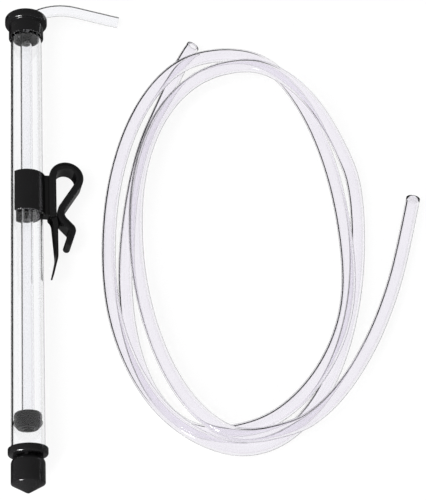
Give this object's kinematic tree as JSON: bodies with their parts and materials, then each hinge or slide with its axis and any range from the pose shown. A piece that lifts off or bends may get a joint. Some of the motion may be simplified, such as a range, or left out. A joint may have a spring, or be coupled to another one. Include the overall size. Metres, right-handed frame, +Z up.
{
  "type": "pump-start siphon with bucket clip and loose hose",
  "caption": "Clear plastic auto-siphon tube with a plunging cane, black foot, tip, cap and bucket clip, lying beside a loose coil of clear hose",
  "frame": {"origin": "bottom centre of the siphon's box, on the surface it lies on; the loose hose is left out of that box", "axes": "+Z up from the surface, +Y along the pump tube from the tip to the outlet, +X from the pump tube towards the hose"},
  "size_m": [0.3314, 0.4252, 0.0351],
  "materials": {
    "clear_tube": "smooth clear plastic",
    "clear_cane": "smooth clear plastic",
    "clear_hose": "soft clear vinyl, faint lilac tint",
    "black_plastic": "glossy moulded plastic",
    "seal_rubber": "satin black rubber",
    "valve_rubber": "matte black rubber"
  },
  "bodies": {
    "siphon_tube": {"outer_tube": "clear_tube", "foot": "black_plastic", "valve_cage": "black_plastic", "tubing_coil": "clear_hose", "tubing_tail": "clear_hose"},
    "valve": {"valve_disc": "valve_rubber"},
    "tip": {"sediment_tip": "black_plastic"},
    "cap": {"end_cap": "black_plastic"},
    "piston": {"piston_seal": "seal_rubber"},
    "cane": {"cane": "clear_cane"},
    "clip": {"bucket_clip": "black_plastic"}
  },
  "joints": [
    {"name": "valve_lift", "type": "slide", "parent": "siphon_tube", "child": "valve", "axis": [0, 1, 0], "range_m": [0, 0.0019]},
    {"name": "tip_pull", "type": "slide", "parent": "siphon_tube", "child": "tip", "axis": [0, -1, 0], "range_m": [0, 0.02]},
    {"name": "cap_pull", "type": "slide", "parent": "siphon_tube", "child": "cap", "axis": [0, 1, 0], "range_m": [0, 0.012]},
    {"name": "pump_stroke", "type": "slide", "parent": "cap", "child": "piston", "axis": [0, 1, 0], "range_m": [0, 0.335]},
    {"name": "cane_turn", "type": "hinge", "parent": "piston", "child": "cane", "pos_m": [-0.03021, 0.1, 0.01758], "axis": [0, 1, 0], "continuous": true},
    {"name": "clip_slide", "type": "slide", "parent": "siphon_tube", "child": "clip", "axis": [0, 1, 0], "range_m": [-0.185, 0.125]}
  ]
}
